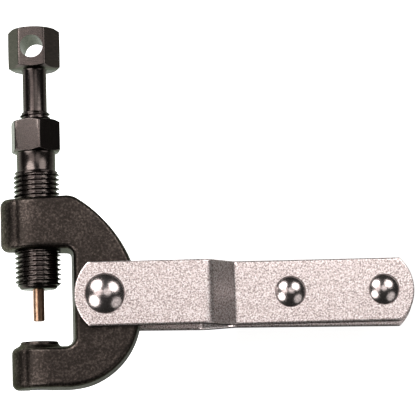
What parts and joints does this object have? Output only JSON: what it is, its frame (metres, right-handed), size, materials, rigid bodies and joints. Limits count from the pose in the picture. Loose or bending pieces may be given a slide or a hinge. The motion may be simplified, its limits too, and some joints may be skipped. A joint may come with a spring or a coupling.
{
  "type": "chain tool",
  "caption": "C-shaped chain tool with a hollow clamp screw, an inner drive screw that pushes an ejector pin, and a riveted strap handle.",
  "frame": {"origin": "on the screws' common axis, level with the top of the anvil's land, halfway through the frame's thickness", "axes": "+X along the handle, away from the screws; +Y up the screws' axis, from the anvil to the drive screw's head; +Z through the frame's thickness, to the front"},
  "size_m": [0.1083, 0.0953, 0.0254],
  "materials": {
    "forged_black": "drop-forged steel, black oxide",
    "oxide_clamp": "turned steel, black oxide, oiled",
    "oxide_drive": "turned steel, black oxide, oiled",
    "pin_steel": "hardened steel, tempered brown",
    "spring_steel": "drawn spring wire",
    "plated_strap": "sheet steel, zinc plated",
    "rivet_steel": "bright plated steel"
  },
  "bodies": {
    "frame": {"c_frame": "forged_black"},
    "spring": {"return_spring": "spring_steel"},
    "clamp": {"clamp_screw": "oxide_clamp"},
    "pin": {"ejector_pin": "pin_steel"},
    "drive": {"drive_screw": "oxide_drive"},
    "handle": {"front_strap": "plated_strap", "rear_strap": "plated_strap", "frame_rivet": "rivet_steel", "handle_rivets": "rivet_steel"}
  },
  "joints": [
    {"name": "handle_pivot", "type": "hinge", "parent": "frame", "child": "handle", "pos_m": [0.017, 0.0113, 0], "axis": [0, 0, 1], "range_deg": [-90, 90]},
    {"name": "clamp_travel", "type": "slide", "parent": "frame", "child": "spring", "axis": [0, 1, 0], "range_m": [-0.0115, 0.0096]},
    {"name": "clamp_spin", "type": "hinge", "parent": "spring", "child": "clamp", "pos_m": [0, 0.03, 0], "axis": [0, 1, 0], "range_deg": [-3240, 2736]},
    {"name": "pin_travel", "type": "slide", "parent": "clamp", "child": "pin", "axis": [0, 1, 0], "range_m": [-0.0136, 0.0083], "deforming": ["return_spring"]},
    {"name": "drive_spin", "type": "hinge", "parent": "pin", "child": "drive", "pos_m": [0, 0.06, 0], "axis": [0, 1, 0], "range_deg": [-4860, 2952]}
  ],
  "couplings": [
    {"joint": "clamp_travel", "follows": "clamp_spin", "m_per_rad": 0.00019894},
    {"joint": "pin_travel", "follows": "drive_spin", "m_per_rad": 0.00015915}
  ]
}
